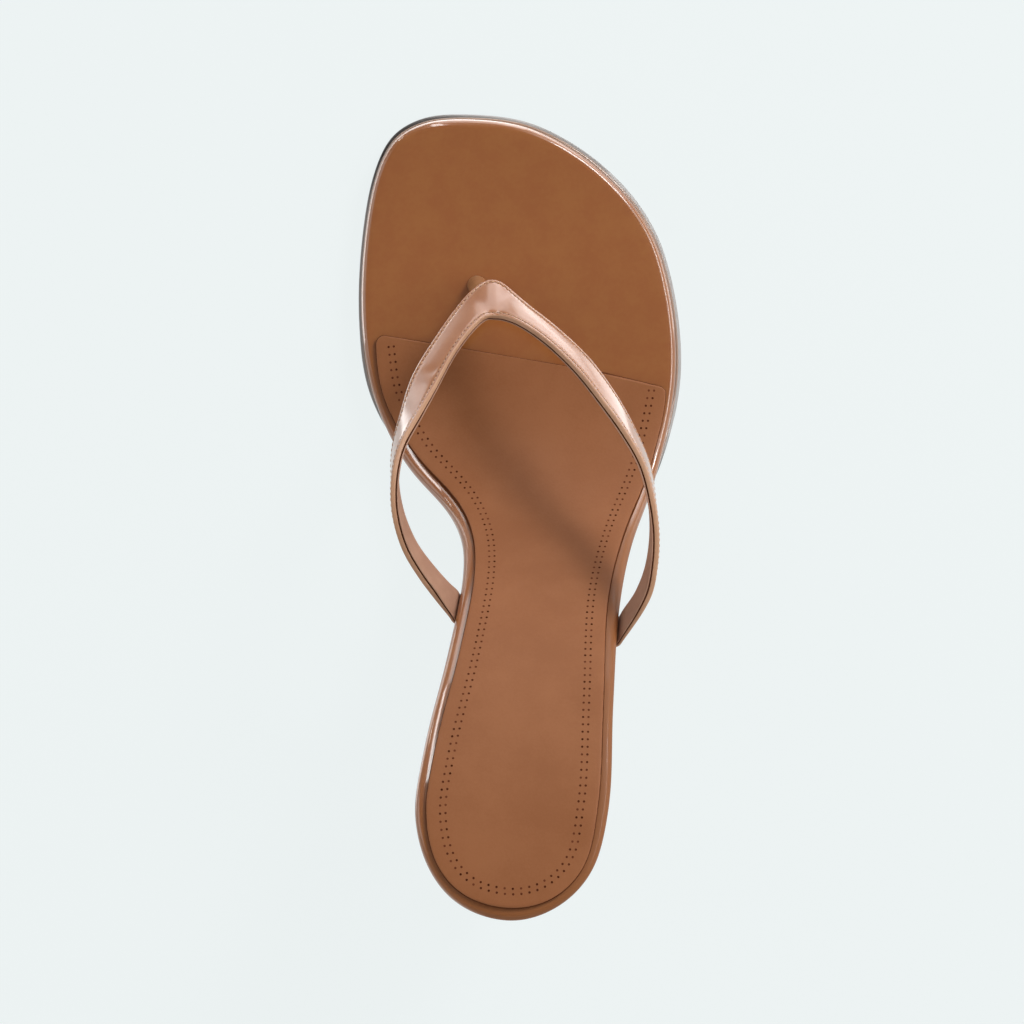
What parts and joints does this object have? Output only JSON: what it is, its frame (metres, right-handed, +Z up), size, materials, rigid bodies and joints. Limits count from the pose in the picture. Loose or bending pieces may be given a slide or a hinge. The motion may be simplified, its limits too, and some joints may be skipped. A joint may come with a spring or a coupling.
{
  "type": "heeled toe post sandal",
  "caption": "Right heeled thong sandal: glossy V strap with a toe post over a bent wrapped footbed with a sock, thin forefoot midsole, dark outsole and a slim covered heel.",
  "frame": {"origin": "centre of the shoe's bounding box in plan, on the floor that the forefoot and the heel stand on", "axes": "+Z up, +Y from heel to toe, +X towards the shoe's lateral side (right shoe)"},
  "size_m": [0.0914, 0.2208, 0.0901],
  "materials": {
    "footbed": "smooth brown leather cover with a glossy rounded rim",
    "midsole": "glossy tan wrap",
    "outsole": "dark satin",
    "sock_pad": "smooth satin brown leather",
    "strap": "glossy tan patent leather",
    "toe_post": "glossy tan leather",
    "heel": "glossy tan patent leather cover",
    "heel_tip": "dark matt"
  },
  "bodies": {
    "root": {"footbed": "footbed", "midsole": "midsole", "outsole": "outsole", "sock_pad": "sock_pad", "strap": "strap", "toe_post": "toe_post", "heel": "heel", "heel_tip": "heel_tip"}
  },
  "joints": []
}
